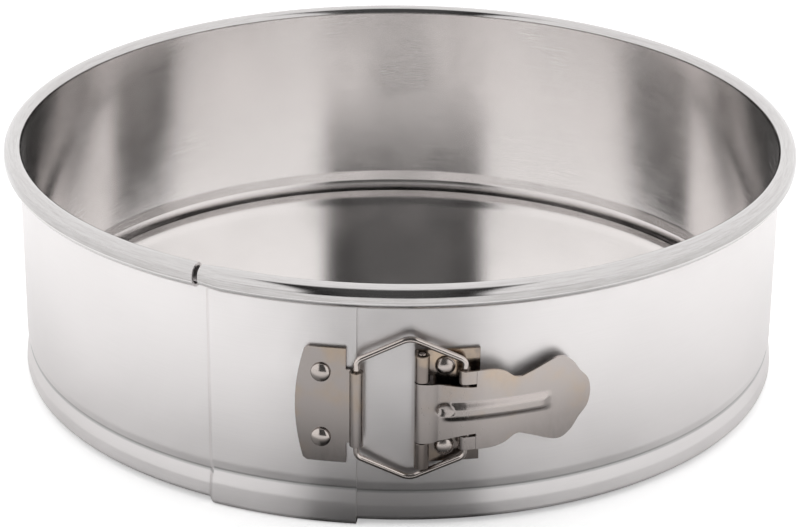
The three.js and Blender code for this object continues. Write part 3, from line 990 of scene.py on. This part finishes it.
def make_camera():
    """A long lens in front of the pan and above it, with no shift."""
    data = bpy.data.cameras.new("camera")
    data.sensor_width = 36.0
    data.lens = 122.0
    data.clip_end = 20.0
    camera = bpy.data.objects.new("camera", data)
    pitch, yaw, roll = (math.radians(a) for a in (23.80, 0.20, 0.50))
    camera.location = (-0.0019, -0.8075, 0.3852)
    look = Matrix.Rotation(-yaw, 4, "Z") @ Matrix.Rotation(math.pi / 2 - pitch, 4, "X")
    camera.rotation_euler = (look @ Matrix.Rotation(roll, 4, "Z")).to_euler()
    bpy.context.collection.objects.link(camera)
    bpy.context.scene.camera = camera


def plain_floor():
    """White to look at. In the metal's reflections it carries a painted shadow, dim close to the front of
    the pan.
    """
    dimmest, brightest = 0.05, 0.95
    glow, far_share = 0.36, 0.6
    material = bpy.data.materials.new("floor_white")
    material.use_nodes = True
    nodes = Nodes(material.node_tree)
    place = Place(nodes)
    aside = nodes.math("ABSOLUTE", place.around)
    # Painted shadow for the reflections: the floor is dimmest close to the pan's front.
    step = nodes.remap(aside, 22 * MM, 32 * MM, 0.0, 0.28, smooth=True)
    slope = nodes.remap(aside, 25 * MM, 150 * MM, 0.0, 0.62)
    away = nodes.remap(place.radius, 135 * MM, 215 * MM, 0.0, 1.0, smooth=True)
    light = nodes.math("MAXIMUM", nodes.math("ADD", step, slope), away)
    pale = nodes.remap(light, 0.0, 1.0, dimmest, brightest)
    painted_shadow_pool = nodes.add("ShaderNodeCombineColor", {channel: pale for channel in range(3)}).outputs[0]
    seen = nodes.add("ShaderNodeLightPath").outputs["Is Camera Ray"]
    diffuse = nodes.add("ShaderNodeBsdfDiffuse", {"Color": nodes.mix(seen, painted_shadow_pool, grey(brightest))})
    glowing = nodes.math("MAXIMUM", nodes.math("MULTIPLY", away, far_share), seen)
    emission = nodes.add("ShaderNodeEmission", {"Strength": nodes.remap(glowing, 0.0, 1.0, 0.0, glow)})
    both = nodes.add("ShaderNodeAddShader", {0: diffuse.outputs[0], 1: emission.outputs[0]})
    output = nodes.add("ShaderNodeOutputMaterial")
    nodes.tree.links.new(both.outputs[0], output.inputs["Surface"])
    return material


def make_floor():
    """The floor ends a little in front of the pan, as a table does."""
    mesh = bpy.data.meshes.new("floor")
    reach = 6.0
    front = -0.38
    corners = [(-reach, front, 0), (reach, front, 0), (reach, reach, 0), (-reach, reach, 0)]
    mesh.from_pydata(corners, [], [(0, 1, 2, 3)])
    mesh.materials.append(plain_floor())
    floor = bpy.data.objects.new("floor", mesh)
    bpy.context.collection.objects.link(floor)


def make_world():
    """A white studio with a dark strip from the horizon up on the front side, over the camera."""
    white, below = 1.3, 0.75
    inner_dark, outer_dark = 0.10, 0.03
    world = bpy.data.worlds.new("studio")
    bpy.context.scene.world = world
    world.use_nodes = True
    nodes = Nodes(world.node_tree)
    facing = nodes.add("ShaderNodeTexCoord").outputs["Generated"]
    x, y, z = nodes.add("ShaderNodeSeparateXYZ", {0: facing}).outputs
    aside = nodes.math("ARCSINE", nodes.math("ABSOLUTE", nodes.math("ADD", x, 0.025)))
    tilt = nodes.math("ARCTAN2", z, nodes.math("MULTIPLY", y, -1.0))

    def ramp(angle, start, end, low, high):
        """A soft change over an angle, from start to end in degrees."""
        return nodes.remap(angle, math.radians(start), math.radians(end), low, high, smooth=True)

    beside = ramp(aside, 21, 27, 0.0, 1.0)
    above = ramp(tilt, 72, 88, 0.0, 1.0)
    behind = nodes.math("GREATER_THAN", y, 0.0)
    lit = nodes.math("MAXIMUM", nodes.math("MAXIMUM", beside, above), behind)
    dark = ramp(aside, 10, 20, inner_dark, outer_dark)
    horizon = nodes.remap(z, -0.15, 0.0, below, 1.0, smooth=True)
    strength = nodes.math("MULTIPLY", nodes.remap(lit, 0.0, 1.0, dark, white), horizon)
    seen = nodes.add("ShaderNodeLightPath").outputs["Is Camera Ray"]
    shown = nodes.math("MAXIMUM", strength, seen)
    background = nodes.add("ShaderNodeBackground", {"Color": grey(1.0), "Strength": shown})
    output = nodes.add("ShaderNodeOutputWorld")
    nodes.tree.links.new(background.outputs[0], output.inputs["Surface"])


bpy.context.scene.view_settings.view_transform = "Standard"

make_camera()
make_floor()
make_world()
make_band()
make_base()
make_keeper()
make_bracket()
make_lever()
make_bail()
make_rivets()
make_pin()
